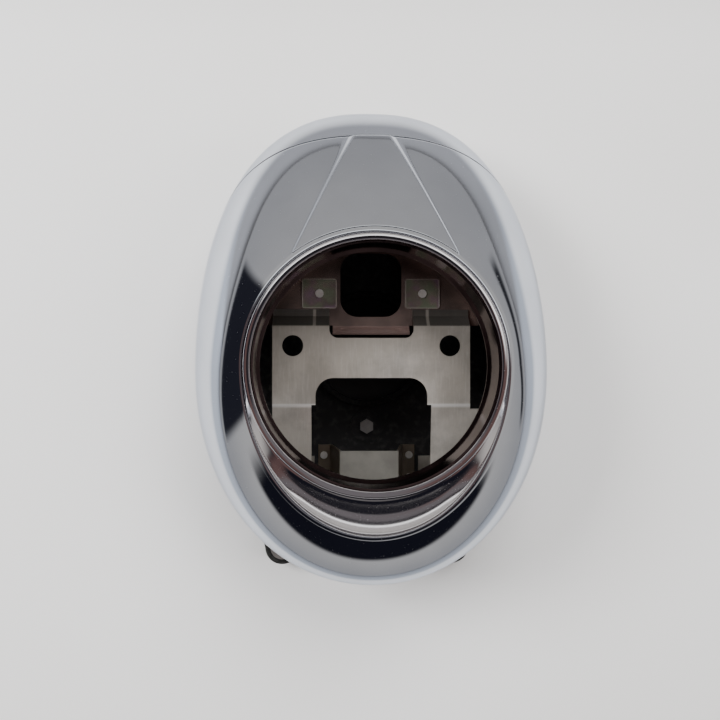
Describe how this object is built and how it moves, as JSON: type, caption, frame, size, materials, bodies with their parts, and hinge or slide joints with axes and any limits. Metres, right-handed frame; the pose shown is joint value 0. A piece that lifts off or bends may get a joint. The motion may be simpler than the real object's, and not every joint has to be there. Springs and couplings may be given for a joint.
{
  "type": "motorcycle headlight housing",
  "caption": "chromed teardrop housing of a motorcycle headlight with bezel, lamp ring, inner stay and rubber-mounted rear plate; the lamp opening is empty",
  "frame": {"origin": "on the lamp's axis, level with the front lip of the lamp bore", "axes": "+Z points out of the lamp opening along its axis, +Y towards the top of the motorcycle, +X to the right seen from the front"},
  "size_m": [0.2388, 0.3382, 0.15],
  "materials": {
    "shell_chrome": "polished",
    "bezel_chrome": "polished",
    "ring_steel": "satin",
    "zinc": "satin",
    "bracket_steel": "satin",
    "clip_steel": "satin",
    "plate_steel": "satin",
    "fastener": "satin",
    "rubber": "matte"
  },
  "bodies": {
    "root": {"front_shell": "shell_chrome", "rear_shell": "shell_chrome", "bezel": "bezel_chrome", "lamp_ring": "ring_steel", "ring_screws": "fastener", "stay": "zinc", "stay_screws": "fastener", "upper_bracket": "bracket_steel", "bracket_screws": "fastener", "bracket_nuts": "fastener", "clip_plate_left": "clip_steel", "clip_plate_right": "clip_steel", "clip_rivets": "fastener", "lower_bracket": "bracket_steel", "lower_rivets": "fastener", "rear_plate": "plate_steel", "bolt_pad": "plate_steel", "centre_washer": "fastener", "centre_bolt": "fastener", "access_edging": "rubber", "damper_left": "rubber", "damper_right": "rubber", "collar_left": "fastener", "collar_right": "fastener"}
  },
  "joints": []
}
